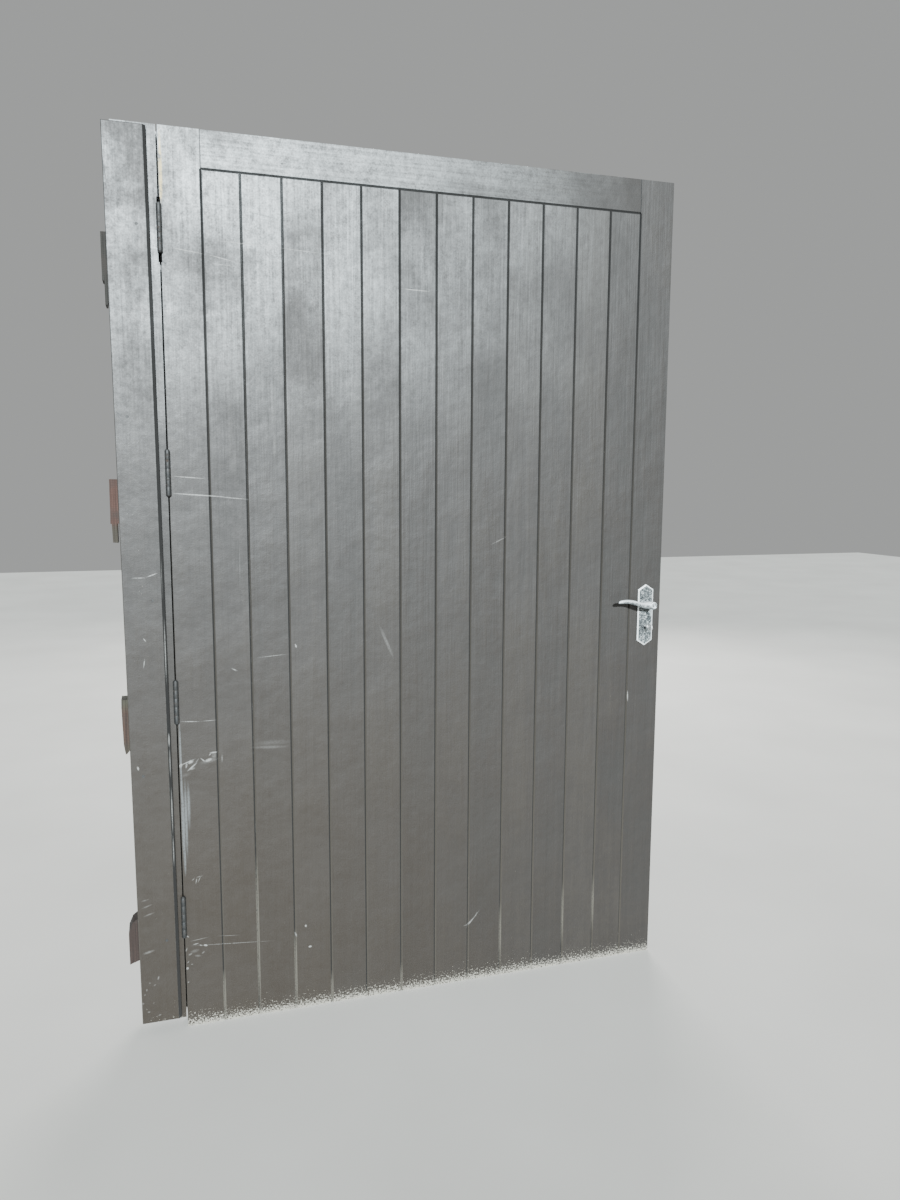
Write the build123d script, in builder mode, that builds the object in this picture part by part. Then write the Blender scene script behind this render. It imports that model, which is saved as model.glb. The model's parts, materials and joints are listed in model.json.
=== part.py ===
from build123d import *
import math
import os

# Side-hung garage door leaf on its hanging post, in millimetres.
# X runs from the hinge side to the lock side, Y into the doorway, Z up.
# The origin is at the middle of the leaf's thickness, under the middle of the whole width.

os.makedirs("parts", exist_ok=True)

# Leaf
leaf_width = 1293.0
leaf_height = 2134.0
leaf_thickness = 44.0
hanging_stile_width = 91.0
lock_stile_width = 95.0
top_rail_height = 84.0
ledge_height = 180.0
ledge_over_lock = 16.0
brace_width = 95.0

# Matchboard
board_thickness = 18.0
board_cover = 93.4
board_gap = 0.5
vee = 3.1
tongue_thickness = 6.0
tongue_length = 7.0
top_tongue_length = 10.0
groove_clearance = 0.15

# Mortise and tenon joints
tenon_thickness = 13.0
rail_tenon_height = 52.0
ledge_tenon_height = 130.0
wedge_length = 60.0
wedge_thickness = 6.0

# Hanging post
hinge_gap = 3.0
jamb_width = 95.0
jamb_depth = 70.0
jamb_foot = 26.0
stop_width = 13.0
stop_clearance = 2.0
facing_width = 92.0
facing_thickness = 20.0
facing_foot = 36.0
facing_top_inset = 9.0
facing_foot_offset = 57.5
facing_top_offset = 66.0
facing_edge = 1.5
facing_bevel = 7.0
nail_radius = 1.7
nail_length = 55.0
nail_head_radius = 3.4
nail_head_thickness = 1.2
nail_clearance = 0.05
nail_rows = 5

# Fixings of the post to the wall, with the packers behind them
fixing_first = 235.0
fixing_top_inset = 306.0
fixing_count = 4
fixing_radius = 5.0
fixing_head_radius = 9.0
fixing_head_depth = 12.0
fixing_setback = 34.0
packer_depth = 46.0
packer_setback = 12.0

# Butt hinges
hinge_first = 292.0
hinge_top_inset = 219.0
hinge_count = 4
hinge_length = 102.0
hinge_leaf_depth = 34.0
hinge_leaf_thickness = 2.5
knuckle_radius = 6.0
knuckle_count = 5
knuckle_gap = 0.3
pin_radius = 3.0
pin_clearance = 0.05
pin_stand_off = 7.0
pin_tip_radius = 4.6
pin_tip_height = 3.4
hinge_screw_radius = 2.2
hinge_screw_head = 4.3
hinge_screw_length = 30.0
hinge_screw_rows = 3
# A longer hinge once sat at the top: how far its old recess runs past the present one
old_recess_above = 16.0
old_recess_below = 22.0

# Mortice lock
backset = 46.0
follower_height = 1024.0
lock_centres = 61.0
case_depth = 66.0
case_thickness = 15.0
case_wall = 1.6
case_above_follower = 26.0
case_below_key = 18.0
case_clearance = 0.25
forend_thickness = 3.0
forend_width = 20.0
forend_height = 155.0
forend_screw_radius = 1.9
forend_screw_head = 3.8
forend_screw_length = 22.0
forend_screw_inset = 9.0

# Latch, deadbolt and follower
bolt_clearance = 0.2
latch_projection = 9.5
latch_height = 16.0
latch_head_length = 18.0
latch_stem_height = 4.0
latch_lug_width = 3.0
deadbolt_throw = 14.0
deadbolt_height = 22.0
deadbolt_offset = 14.0
deadbolt_bearing = 8.0
deadbolt_tail_height = 12.0
deadbolt_horn = 2.5
talon_width = 15.0
talon_clearance = 0.6
follower_radius = 9.5
follower_boss_radius = 7.5
follower_arm_radius = 14.0
follower_arm_width = 5.0

# Spindle, levers and plates
spindle_size = 7.8
spindle_clearance = 0.1
spindle_in_lever = 34.0
plate_width = 46.0
plate_height = 170.0
plate_gable = 14.5
plate_thickness = 4.4
plate_rim = 3.2
plate_bevel = 1.9
plate_drop = 31.0
plate_screw_radius = 1.8
plate_screw_head = 3.4
plate_screw_length = 13.0
plate_screw_spacing_x = 22.0
plate_screw_spacing_z = 124.0
neck_radius = 8.6
neck_clearance = 0.08
lever_stand_off = 50.0
lever_boss_radius = 10.4
lever_boss_length = 17.0
lever_reach = 103.0
lever_rise = 13.0
grub_radius = 2.5
grub_setback = 12.0

# Key
key_radius = 3.0
key_clearance = 0.08
key_bit_reach = 10.0
key_bit_width = 8.0
key_bit_thickness = 2.5
key_bow_width = 25.0
key_bow_height = 19.0
key_bow_thickness = 3.0
key_bow_rim = 6.0
key_stand_off = 43.0
keyway_clearance = 0.6

# Rough offcuts that pack out the post, from the lowest up. Each outline is given by how far its
# corners stand out from the post and how far they are above its fixing.
packer_outlines = [
    [(0, -45), (33.5, -56.6), (33.4, 19), (33, 29), (23.5, 51), (12, 59.5), (0, 64)],
    [(0, -32), (18, -55), (22, -57), (26, -32), (28, 58), (27.5, 77), (0, 77)],
    [(0, -38), (18, -40), (18, -84), (30, -83), (31.4, -40), (34, -40), (33, 62.6), (0, 62.6)],
    [(0, -31), (19.5, -84), (24, -84), (24.5, -32), (29, -30), (29, 74), (0, 74)],
]

# Places that follow from the sizes
packer_reach = max(out for corners in packer_outlines for out, up in corners)
left_reach = hinge_gap + jamb_width + packer_reach
right_reach = leaf_width + latch_projection
hinge_edge = (left_reach - right_reach) / 2
lock_edge = hinge_edge + leaf_width
front = -leaf_thickness / 2
back = leaf_thickness / 2
board_back = front + board_thickness
rail_edge = leaf_height - top_rail_height
stile_inner = hinge_edge + hanging_stile_width
lock_stile_inner = lock_edge - lock_stile_width
tongue_front = front + (board_thickness - tongue_thickness) / 2
tongue_back = tongue_front + tongue_thickness
groove_front = tongue_front - groove_clearance
groove_back = tongue_back + groove_clearance
groove_depth = tongue_length + 2 * groove_clearance
tenon_front = (board_back + back - tenon_thickness) / 2
tenon_back = tenon_front + tenon_thickness

facing_top = leaf_height - facing_top_inset
jamb_edge = hinge_edge - hinge_gap
jamb_wall = jamb_edge - jamb_width
jamb_back = front + jamb_depth
rebate_back = back + stop_clearance
pin_x = hinge_edge - hinge_gap / 2
pin_y = front - pin_stand_off
hinge_pitch = (leaf_height - hinge_first - hinge_top_inset) / (hinge_count - 1)
hinge_heights = [hinge_first + hinge_pitch * i for i in range(hinge_count)]
fixing_pitch = (leaf_height - fixing_first - fixing_top_inset) / (fixing_count - 1)
fixing_heights = [fixing_first + fixing_pitch * i for i in range(fixing_count)]
fixing_y = front + fixing_setback

spindle_x = lock_edge - backset
spindle_place = (spindle_x, follower_height)
key_height = follower_height - lock_centres
case_back_edge = lock_edge - case_depth
case_front = -case_thickness / 2
case_back = case_thickness / 2
case_inner_front = case_front + case_wall
case_inner_back = case_back - case_wall
case_bottom = key_height - case_below_key
case_top = follower_height + case_above_follower
case_centre = (case_bottom + case_top) / 2
middle_ledge_centre = case_top + ledge_over_lock + ledge_height / 2
forend_back = lock_edge - forend_thickness
bolt_front = case_inner_front + bolt_clearance
bolt_back = case_inner_back - bolt_clearance
plate_centre = follower_height - plate_drop
plate_front = front - plate_thickness
keyway_radius = key_radius + keyway_clearance
keyway_width = key_bit_thickness + 2 * keyway_clearance
keyway_reach = key_bit_reach + keyway_clearance


def upright(y):
    """Vertical plane at depth y that faces the front, with X to the right and Z up."""
    return Plane.XZ.offset(-y)


def slab(x, y, z, mode=Mode.ADD):
    """Square-edged block between two limits in each direction."""
    with BuildSketch(Plane.XY.offset(z[0])) as base:
        with Locations(((x[0] + x[1]) / 2, (y[0] + y[1]) / 2)):
            Rectangle(x[1] - x[0], y[1] - y[0])
    extrude(base.sketch, amount=z[1] - z[0], mode=mode)


def outline(plane, points, amount, mode=Mode.ADD):
    """Straight-sided outline on a plane, given thickness along the plane's normal."""
    with BuildSketch(plane) as shape:
        with BuildLine():
            Polyline(*points, close=True)
        make_face()
    extrude(shape.sketch, amount=amount, mode=mode)


def round_bar(plane, centre, radius, amount, mode=Mode.ADD):
    """Round bar or hole from a plane, along the plane's normal."""
    with BuildSketch(plane) as disc:
        with Locations(centre):
            Circle(radius)
    extrude(disc.sketch, amount=amount, mode=mode)


def key_opening(plane, radius, width, reach, amount):
    """Keyhole: round at the top for the stem, with a slot below for the bit."""
    with BuildSketch(plane) as hole:
        with Locations((spindle_x, key_height)):
            Circle(radius)
        with Locations((spindle_x, key_height - reach / 2)):
            Rectangle(width, reach)
    extrude(hole.sketch, amount=amount, mode=Mode.SUBTRACT)


def countersunk_screw(radius, head_radius, length):
    """Screw with its flat head at the origin and its point downwards."""
    with BuildPart() as screw:
        with BuildSketch(Plane.XZ):
            with BuildLine():
                Polyline(
                    (0, 0),
                    (head_radius, 0),
                    (radius, radius - head_radius),
                    (radius, 2 * radius - length),
                    (0, -length),
                    close=True,
                )
            make_face()
        revolve(axis=Axis.Z)
    return screw.part


def save(builder, name):
    """Label a finished piece and write it to its own file."""
    builder.part.label = name
    export_step(builder.part, f"parts/{name}.step")


# Screws, each drawn once; the holes that take them are cut with the same form
hinge_screw = countersunk_screw(hinge_screw_radius, hinge_screw_head, hinge_screw_length)
plate_screw = countersunk_screw(plate_screw_radius, plate_screw_head, plate_screw_length)
forend_screw = countersunk_screw(forend_screw_radius, forend_screw_head, forend_screw_length)

hinge_screw_rise = hinge_length / hinge_screw_rows
hinge_screw_zigzag = hinge_leaf_depth / 6


def hinge_screw_places(x, turn):
    """Three screws in each hinge leaf, in a zigzag, with their heads at x."""
    places = []
    for height in hinge_heights:
        for row in range(hinge_screw_rows):
            side = hinge_screw_zigzag * (-1) ** row
            y = front + hinge_leaf_depth / 2 + side
            z = height + hinge_screw_rise * (row - (hinge_screw_rows - 1) / 2)
            places.append(Location((x, y, z), (0, turn, 0)))
    return places


post_screw_places = hinge_screw_places(jamb_edge, 90)
leaf_screw_places = hinge_screw_places(hinge_edge, -90)

plate_screw_columns = (spindle_x - plate_screw_spacing_x / 2, spindle_x + plate_screw_spacing_x / 2)
plate_screw_heights = (
    plate_centre - plate_screw_spacing_z / 2,
    plate_centre + plate_screw_spacing_z / 2,
)
plate_screw_places = [
    Location((x, side * plate_front, z), (side * 90, 0, 0))
    for x in plate_screw_columns
    for z in plate_screw_heights
    for side in (1, -1)
]

forend_screw_heights = (
    case_centre - forend_height / 2 + forend_screw_inset,
    case_centre + forend_height / 2 - forend_screw_inset,
)
forend_screw_places = [Location((lock_edge, 0, z), (0, 90, 0)) for z in forend_screw_heights]


# Rails of the leaf: the middle of each tenon and its height
joints = [
    (ledge_height / 2, ledge_tenon_height),
    (middle_ledge_centre, ledge_tenon_height),
    (rail_edge + top_rail_height / 2 + vee, rail_tenon_height),
]


def cut_mortises(outer, inner):
    """Mortises right through a stile, splayed at the outer edge for the wedges."""
    splay = outer + math.copysign(wedge_length, inner - outer)
    for middle, height in joints:
        low, high = middle - height / 2, middle + height / 2
        points = [
            (inner, low),
            (inner, high),
            (splay, high),
            (outer, high + wedge_thickness),
            (outer, low - wedge_thickness),
            (splay, low),
        ]
        outline(upright(tenon_back), points, tenon_thickness, mode=Mode.SUBTRACT)


def cut_for_hinges(edge, side, screw_places):
    """Shallow recess for each hinge leaf in the edge of a post or stile, and its screw holes."""
    x = sorted((edge, edge + side * hinge_leaf_thickness))
    ends = [(height - hinge_length / 2, height + hinge_length / 2) for height in hinge_heights]
    low, high = ends.pop()
    ends.append((low - old_recess_below, high + old_recess_above))
    for z in ends:
        slab(x, (front, front + hinge_leaf_depth), z, mode=Mode.SUBTRACT)
    with Locations(*screw_places):
        add(hinge_screw, mode=Mode.SUBTRACT)


def add_tenons(middle, height):
    """Tenons at both ends of a rail, right through the stiles, where a hinge may be let into them."""
    z = (middle - height / 2, middle + height / 2)
    slab((hinge_edge, stile_inner), (tenon_front, tenon_back), z)
    slab((lock_stile_inner, lock_edge), (tenon_front, tenon_back), z)
    cut_for_hinges(hinge_edge, 1, leaf_screw_places)


def stile_section(outer, inner):
    """Plan section of a stile with the groove for the boards in its inner edge."""
    depth = groove_depth if outer < inner else -groove_depth
    outer_edge = 1.0 if outer < inner else -1.0
    return [
        (outer + outer_edge, front),
        (inner, front),
        (inner, groove_front),
        (inner - depth, groove_front),
        (inner - depth, groove_back),
        (inner, groove_back),
        (inner, back),
        (outer + outer_edge, back),
        (outer, back - 1.0),
        (outer, front + 1.0),
    ]


def cut_stile_vee(inner, side):
    """Bevel on the inner front arris of a stile, as far up as the boards reach."""
    points = [(inner, front), (inner, front + vee), (inner + side * vee, front)]
    outline(Plane.XY, points, rail_edge, mode=Mode.SUBTRACT)


# Hanging stile
with BuildPart() as hanging_stile:
    outline(Plane.XY, stile_section(hinge_edge, stile_inner), leaf_height)
    cut_stile_vee(stile_inner, -1)
    cut_mortises(hinge_edge, stile_inner)
    cut_for_hinges(hinge_edge, 1, leaf_screw_places)
save(hanging_stile, "hanging_stile")

# Lock stile, with the pocket for the lock and the holes for spindle and key
with BuildPart() as lock_stile:
    outline(Plane.XY, stile_section(lock_edge, lock_stile_inner), leaf_height)
    cut_stile_vee(lock_stile_inner, 1)
    cut_mortises(lock_edge, lock_stile_inner)
    slab(
        (case_back_edge - case_clearance, lock_edge),
        (case_front - case_clearance, case_back + case_clearance),
        (case_bottom - case_clearance, case_top + case_clearance),
        mode=Mode.SUBTRACT,
    )
    slab(
        (forend_back, lock_edge),
        (-forend_width / 2, forend_width / 2),
        (case_centre - forend_height / 2, case_centre + forend_height / 2),
        mode=Mode.SUBTRACT,
    )
    spindle_hole_radius = neck_radius + keyway_clearance
    round_bar(upright(back), spindle_place, spindle_hole_radius, leaf_thickness, Mode.SUBTRACT)
    hole_radius, hole_width = keyway_radius + keyway_clearance, keyway_width + keyway_clearance
    key_opening(upright(back), hole_radius, hole_width, keyway_reach, leaf_thickness)
    with Locations(*plate_screw_places):
        add(plate_screw, mode=Mode.SUBTRACT)
    with Locations(*forend_screw_places):
        add(forend_screw, mode=Mode.SUBTRACT)
save(lock_stile, "lock_stile")

# Top rail, grooved underneath for the tops of the boards
with BuildPart() as top_rail:
    section = [
        (front, rail_edge + vee),
        (front + vee, rail_edge),
        (groove_front, rail_edge),
        (groove_front, rail_edge + top_tongue_length + groove_clearance),
        (groove_back, rail_edge + top_tongue_length + groove_clearance),
        (groove_back, rail_edge),
        (back, rail_edge),
        (back, leaf_height),
        (front, leaf_height),
    ]
    outline(Plane.YZ.offset(stile_inner), section, lock_stile_inner - stile_inner)
    add_tenons(*joints[2])
save(top_rail, "top_rail")


def ledge(middle, height, tenon):
    """Thin rail behind the boards, bevelled along its back arrises."""
    low, high = middle - height / 2, middle + height / 2
    section = [
        (board_back, low),
        (back - vee, low),
        (back, low + vee),
        (back, high - vee),
        (back - vee, high),
        (board_back, high),
    ]
    outline(Plane.YZ.offset(stile_inner), section, lock_stile_inner - stile_inner)
    add_tenons(middle, tenon)


with BuildPart() as bottom_ledge:
    ledge(joints[0][0], ledge_height, joints[0][1])
save(bottom_ledge, "bottom_ledge")

with BuildPart() as middle_ledge:
    ledge(joints[1][0], ledge_height, joints[1][1])
save(middle_ledge, "middle_ledge")

# Wedges that spread the tenons in the splayed mortises
with BuildPart() as tenon_wedges:
    for outer, inner in ((hinge_edge, stile_inner), (lock_edge, lock_stile_inner)):
        splay = outer + math.copysign(wedge_length, inner - outer)
        for middle, height in joints:
            for side in (-1, 1):
                face = middle + side * height / 2
                points = [(splay, face), (outer, face), (outer, face + side * wedge_thickness)]
                outline(upright(tenon_back), points, tenon_thickness)
    cut_for_hinges(hinge_edge, 1, leaf_screw_places)
save(tenon_wedges, "tenon_wedges")


def brace(low, high):
    """Brace that rises from the hinge side and fits both corners of its field."""
    angle = math.atan2(high - low, lock_stile_inner - stile_inner)
    along = brace_width / 2 / math.sin(angle)
    up = brace_width / 2 / math.cos(angle)
    points = [
        (stile_inner, low),
        (stile_inner + along, low),
        (lock_stile_inner, high - up),
        (lock_stile_inner, high),
        (lock_stile_inner - along, high),
        (stile_inner, low + up),
    ]
    outline(upright(back), points, back - board_back)


with BuildPart() as lower_brace:
    brace(ledge_height, middle_ledge_centre - ledge_height / 2)
save(lower_brace, "lower_brace")

with BuildPart() as upper_brace:
    brace(middle_ledge_centre + ledge_height / 2, rail_edge)
save(upper_brace, "upper_brace")


# Matchboard between the stiles: full boards in the middle and an equal narrower one at each side
boarded_width = lock_stile_inner - stile_inner
full_boards = math.ceil(boarded_width / board_cover) - 2
edge_cover = (boarded_width - full_boards * board_cover) / 2
board_covers = [edge_cover] + [board_cover] * full_boards + [edge_cover]


def board_section(left, right, first):
    """Plan section: tongue on the right, groove on the left, or a tongue there on the first board."""
    depth = -tongue_length if first else groove_depth
    near, far = (tongue_front, tongue_back) if first else (groove_front, groove_back)
    return [
        (left + vee, front),
        (right - vee, front),
        (right, front + vee),
        (right, tongue_front),
        (right + tongue_length, tongue_front),
        (right + tongue_length, tongue_back),
        (right, tongue_back),
        (right, board_back),
        (left, board_back),
        (left, far),
        (left + depth, far),
        (left + depth, near),
        (left, near),
        (left, front + vee),
    ]


def cut_board_top(left, right):
    """Shape the top end into a tongue for the rail, with a bevel on its front arris."""
    top = rail_edge + top_tongue_length
    before = [
        (front, rail_edge - vee),
        (front + vee, rail_edge),
        (tongue_front, rail_edge),
        (tongue_front, top),
        (front, top),
    ]
    behind = [
        (tongue_back, rail_edge),
        (board_back, rail_edge),
        (board_back, top),
        (tongue_back, top),
    ]
    start = Plane.YZ.offset(left - tongue_length)
    for points in (before, behind):
        outline(start, points, right - left + 2 * tongue_length, mode=Mode.SUBTRACT)


board_edge = stile_inner
for number, cover in enumerate(board_covers, start=1):
    left, right = board_edge + board_gap / 2, board_edge + cover - board_gap / 2
    with BuildPart() as board:
        section = board_section(left, right, number == 1)
        outline(Plane.XY, section, rail_edge + top_tongue_length)
        cut_board_top(left, right)
    save(board, f"board_{number:02d}")
    board_edge += cover

# Hanging jamb: rebated for the leaf, recessed for the hinges and drilled for its fixings
with BuildPart() as hanging_jamb:
    section = [
        (jamb_wall, front),
        (jamb_edge, front),
        (jamb_edge, rebate_back),
        (jamb_edge + stop_width, rebate_back),
        (jamb_edge + stop_width, jamb_back),
        (jamb_wall, jamb_back),
    ]
    outline(Plane.XY.offset(jamb_foot), section, leaf_height - jamb_foot)
    cut_for_hinges(jamb_edge, -1, post_screw_places)
    with Locations(*[Location((jamb_edge, fixing_y, z), (0, 90, 0)) for z in fixing_heights]):
        CounterBoreHole(fixing_radius, fixing_head_radius, fixing_head_depth, jamb_width)

# Facing board: nailed on the front of the jamb, slightly out of plumb
nail_places = []
for row in range(nail_rows):
    share = (row + 0.5) / nail_rows
    offset = facing_foot_offset + (facing_top_offset - facing_foot_offset) * share
    zigzag = facing_width / 5 * (-1) ** row
    height = facing_foot + (facing_top - facing_foot) * share
    place = (jamb_edge - offset + zigzag, front - facing_thickness, height)
    nail_places.append(Location(place, (90, 0, 0)))


def nail(clearance):
    """Round nail with its head flush at the origin and its point downwards."""
    with BuildPart() as piece:
        with BuildSketch(Plane.XZ):
            with BuildLine():
                Polyline(
                    (0, 0),
                    (nail_head_radius + clearance, 0),
                    (nail_head_radius + clearance, -nail_head_thickness),
                    (nail_radius + clearance, -nail_head_thickness),
                    (nail_radius + clearance, 2 * nail_radius - nail_length),
                    (0, -nail_length - clearance),
                    close=True,
                )
            make_face()
        revolve(axis=Axis.Z)
    return piece.part


nail_hole = nail(nail_clearance)
facing_nail = nail(0)

with BuildPart() as facing_board:
    foot_centre, top_centre = jamb_edge - facing_foot_offset, jamb_edge - facing_top_offset
    half = facing_width / 2
    points = [
        (foot_centre - half, facing_foot),
        (foot_centre + half, facing_foot),
        (top_centre + half, facing_top),
        (top_centre - half, facing_top),
    ]
    outline(upright(front), points, facing_thickness)
    chamfer(facing_board.faces().sort_by(Axis.Y)[0].edges().sort_by(Axis.X)[-1], facing_bevel)
    chamfer(facing_board.faces().sort_by(Axis.Y)[0].edges().sort_by(Axis.X)[:-1], facing_edge)
    with Locations(*nail_places):
        add(nail_hole, mode=Mode.SUBTRACT)
save(facing_board, "facing_board")

with BuildPart() as facing_nails:
    with Locations(*nail_places):
        add(facing_nail)
save(facing_nails, "facing_nails")

with hanging_jamb:
    with Locations(*nail_places):
        add(nail_hole, mode=Mode.SUBTRACT)
save(hanging_jamb, "hanging_jamb")

# Packers between the jamb and the wall, one at each fixing
packer_front = front + packer_setback
for number, (corners, height) in enumerate(zip(packer_outlines, fixing_heights), start=1):
    with BuildPart() as packer:
        points = [(jamb_wall - out, height + up) for out, up in corners]
        outline(upright(packer_front + packer_depth), points, packer_depth)
        wall = Plane.YZ.offset(jamb_wall)
        round_bar(wall, (fixing_y, height), fixing_radius, -packer_reach, Mode.SUBTRACT)
    save(packer, f"packer_{number}")

# Butt hinges: five knuckles, three on the post's leaf and two on the door's
knuckle_pitch = hinge_length / knuckle_count


def hinge_leaf(height, edge, side, first, screw_places):
    """Hinge leaf let into an edge, with every second knuckle from the first one up."""
    x = sorted((edge, edge + side * hinge_leaf_thickness))
    bottom = height - hinge_length / 2
    slab(x, (front, front + hinge_leaf_depth), (bottom, bottom + hinge_length))
    for i in range(first, knuckle_count, 2):
        low = bottom + knuckle_pitch * i + (knuckle_gap / 2 if i else 0)
        high = bottom + knuckle_pitch * (i + 1) - (knuckle_gap / 2 if i < knuckle_count - 1 else 0)
        slab(x, (pin_y, front), (low, high))
        round_bar(Plane.XY.offset(low), (pin_x, pin_y), knuckle_radius, high - low)
    bore_radius = pin_radius + pin_clearance
    round_bar(Plane.XY.offset(bottom), (pin_x, pin_y), bore_radius, hinge_length, Mode.SUBTRACT)
    with Locations(*screw_places):
        add(hinge_screw, mode=Mode.SUBTRACT)


for number, height in enumerate(hinge_heights, start=1):
    rows = slice((number - 1) * hinge_screw_rows, number * hinge_screw_rows)
    with BuildPart() as post_hinge:
        hinge_leaf(height, jamb_edge, -1, 0, post_screw_places[rows])
    save(post_hinge, f"post_hinge_{number}")

    with BuildPart() as leaf_hinge:
        hinge_leaf(height, hinge_edge, 1, 1, leaf_screw_places[rows])
    save(leaf_hinge, f"leaf_hinge_{number}")

    # Pin with a domed tip on both ends
    with BuildPart() as hinge_pin:
        with BuildSketch(Plane.XZ.offset(-pin_y)):
            with BuildLine():
                reach = hinge_length / 2
                Polyline(
                    (pin_x, height - reach - pin_tip_height),
                    (pin_x, height + reach + pin_tip_height),
                )
                Spline(
                    (pin_x, height + reach + pin_tip_height),
                    (pin_x + pin_tip_radius * 0.75, height + reach + pin_tip_height * 0.7),
                    (pin_x + pin_tip_radius, height + reach),
                    tangents=((1, 0), (0, -1)),
                )
                Polyline(
                    (pin_x + pin_tip_radius, height + reach),
                    (pin_x + pin_radius, height + reach),
                    (pin_x + pin_radius, height - reach),
                    (pin_x + pin_tip_radius, height - reach),
                )
                Spline(
                    (pin_x + pin_tip_radius, height - reach),
                    (pin_x + pin_tip_radius * 0.75, height - reach - pin_tip_height * 0.7),
                    (pin_x, height - reach - pin_tip_height),
                    tangents=((0, -1), (-1, 0)),
                )
            make_face()
        revolve(axis=Axis((pin_x, pin_y, 0), (0, 0, 1)))
    save(hinge_pin, f"hinge_pin_{number}")

with BuildPart() as post_hinge_screws:
    with Locations(*post_screw_places):
        add(hinge_screw)
save(post_hinge_screws, "post_hinge_screws")

with BuildPart() as leaf_hinge_screws:
    with Locations(*leaf_screw_places):
        add(hinge_screw)
save(leaf_hinge_screws, "leaf_hinge_screws")


def lock_side_holes(plane, amount):
    """Hole for the follower's boss and keyhole, through one side of the lock case."""
    boss_hole = follower_boss_radius + pin_clearance
    round_bar(plane, (spindle_x, follower_height), boss_hole, amount, Mode.SUBTRACT)
    key_opening(plane, key_radius + key_clearance, keyway_width, keyway_reach, amount)


# Bolt openings: the latch at the follower's height and the deadbolt over the key
deadbolt_centre = key_height + deadbolt_offset
latch_slot = (follower_height - latch_height / 2, follower_height + latch_height / 2)
deadbolt_slot = (deadbolt_centre - deadbolt_height / 2, deadbolt_centre + deadbolt_height / 2)


def cut_bolt_slots(x):
    """Openings for the two bolts, a little larger than the bolts all round."""
    y = (bolt_front - bolt_clearance / 2, bolt_back + bolt_clearance / 2)
    for low, high in (latch_slot, deadbolt_slot):
        slab(x, y, (low - bolt_clearance, high + bolt_clearance), mode=Mode.SUBTRACT)


# Lock case: an open tray, closed by its cap on the front side
with BuildPart() as lock_case:
    tray_front = case_front + case_wall
    slab((case_back_edge, forend_back), (tray_front, case_back), (case_bottom, case_top))
    slab(
        (case_back_edge + case_wall, forend_back - case_wall),
        (tray_front, case_inner_back),
        (case_bottom + case_wall, case_top - case_wall),
        mode=Mode.SUBTRACT,
    )
    cut_bolt_slots((forend_back - case_wall, forend_back))
    lock_side_holes(upright(case_back), case_wall)
save(lock_case, "lock_case")

with BuildPart() as lock_cap:
    slab((case_back_edge, forend_back), (case_front, tray_front), (case_bottom, case_top))
    lock_side_holes(upright(tray_front), case_wall)
save(lock_cap, "lock_cap")

with BuildPart() as lock_forend:
    slab(
        (forend_back, lock_edge),
        (-forend_width / 2, forend_width / 2),
        (case_centre - forend_height / 2, case_centre + forend_height / 2),
    )
    cut_bolt_slots((forend_back, lock_edge))
    with Locations(*forend_screw_places):
        add(forend_screw, mode=Mode.SUBTRACT)
save(lock_forend, "lock_forend")

with BuildPart() as forend_screws:
    with Locations(*forend_screw_places):
        add(forend_screw)
save(forend_screws, "forend_screws")

# Latch bolt: bevelled head, a riser behind it and a stem over the follower that ends in a lug
latch_head_back = lock_edge - latch_head_length
latch_tip = lock_edge + latch_projection
stem_low = follower_height + follower_arm_radius + 2 * bolt_clearance
stem_high = stem_low + latch_stem_height
lug_right = spindle_x - follower_arm_width / 2 - bolt_clearance
lug_left = lug_right - latch_lug_width
with BuildPart() as latch_bolt:
    bevel_back = latch_tip - latch_projection
    head = [
        (latch_head_back, bolt_front),
        (latch_tip, bolt_front),
        (latch_tip, bolt_front + 2.0),
        (bevel_back, bolt_back),
        (latch_head_back, bolt_back),
    ]
    outline(Plane.XY.offset(latch_slot[0]), head, latch_height)
    riser_right = latch_head_back + latch_stem_height
    profile = [
        (latch_head_back, latch_slot[0]),
        (riser_right, latch_slot[0]),
        (riser_right, stem_high),
        (lug_left, stem_high),
        (lug_left, follower_height + follower_radius + 2 * bolt_clearance),
        (lug_right, follower_height + follower_radius + 2 * bolt_clearance),
        (lug_right, stem_low),
        (latch_head_back, stem_low),
    ]
    outline(upright(bolt_back), profile, bolt_back - bolt_front)
save(latch_bolt, "latch_bolt")

# Deadbolt: solid head and a tail over the key, notched for the key's bit
deadbolt_back = lock_edge - deadbolt_throw - deadbolt_bearing
tail_low = key_height + key_radius + key_bit_reach * 0.4
tail_left = spindle_x - talon_width - deadbolt_horn + vee / 2
with BuildPart() as deadbolt:
    slab((deadbolt_back, lock_edge), (bolt_front, bolt_back), deadbolt_slot)
    slab(
        (tail_left, deadbolt_back),
        (bolt_front, bolt_back),
        (tail_low, tail_low + deadbolt_tail_height),
    )
    slab(
        (tail_left + deadbolt_horn, tail_left + deadbolt_horn + talon_width),
        (bolt_front, bolt_back),
        (tail_low, key_height + key_bit_reach + talon_clearance),
        mode=Mode.SUBTRACT,
    )
save(deadbolt, "deadbolt")

# Follower: a hub with a square hole, a boss on each side and one arm that draws the latch
with BuildPart() as follower:
    with BuildSketch(upright(bolt_back)):
        with Locations((spindle_x, follower_height)):
            Circle(follower_radius)
        with Locations((spindle_x, follower_height + follower_arm_radius / 2)):
            Rectangle(follower_arm_width, follower_arm_radius)
    extrude(amount=bolt_back - bolt_front)
    with BuildSketch(upright(case_back)):
        with Locations((spindle_x, follower_height)):
            Circle(follower_boss_radius)
    extrude(amount=case_thickness)
    with BuildSketch(upright(case_back)):
        with Locations((spindle_x, follower_height)):
            Rectangle(spindle_size + 2 * spindle_clearance, spindle_size + 2 * spindle_clearance)
    extrude(amount=case_thickness, mode=Mode.SUBTRACT)
save(follower, "follower")

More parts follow.
